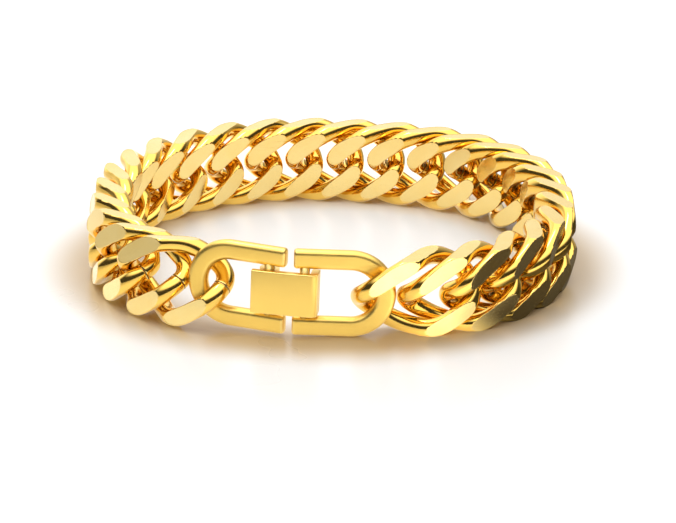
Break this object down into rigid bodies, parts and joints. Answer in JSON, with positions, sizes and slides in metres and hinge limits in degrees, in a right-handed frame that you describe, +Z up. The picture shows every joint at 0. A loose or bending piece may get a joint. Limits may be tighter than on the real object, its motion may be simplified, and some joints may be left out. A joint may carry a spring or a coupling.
{
  "type": "chain bracelet",
  "caption": "Closed double curb chain bracelet lying on its side, with a fold-over clasp whose hinged plate hooks a bar between two horseshoe links.",
  "frame": {"origin": "middle of the bounding box, on the surface that the bracelet lies on", "axes": "+Z up, along the wrist hole; the clasp faces -Y; +X to the right when looking at the clasp"},
  "size_m": [0.0746, 0.068, 0.0139],
  "materials": {
    "polished_gold": "polished gold plate",
    "satin_gold": "satin brushed gold plate"
  },
  "bodies": {
    "bracelet": {"chain_link_01": "polished_gold", "chain_link_02": "polished_gold", "chain_link_03": "polished_gold", "chain_link_04": "polished_gold", "chain_link_05": "polished_gold", "chain_link_06": "polished_gold", "chain_link_07": "polished_gold", "chain_link_08": "polished_gold", "chain_link_09": "polished_gold", "chain_link_10": "polished_gold", "chain_link_11": "polished_gold", "chain_link_12": "polished_gold", "chain_link_13": "polished_gold", "chain_link_14": "polished_gold", "chain_link_15": "polished_gold", "chain_link_16": "polished_gold", "chain_link_17": "polished_gold", "chain_link_18": "polished_gold", "chain_link_19": "polished_gold", "chain_link_20": "polished_gold", "chain_link_21": "polished_gold", "chain_link_22": "polished_gold", "chain_link_23": "polished_gold", "chain_link_24": "polished_gold", "chain_link_25": "polished_gold", "chain_link_26": "polished_gold", "clasp_right_link": "satin_gold", "clasp_left_link": "satin_gold"},
    "plate": {"clasp_plate": "satin_gold"}
  },
  "joints": [
    {"name": "plate_hinge", "type": "hinge", "parent": "bracelet", "child": "plate", "pos_m": [-0.009, -0.02933, 0.00708], "axis": [-0.0366, 0, -0.9993], "range_deg": [0, 100]}
  ]
}
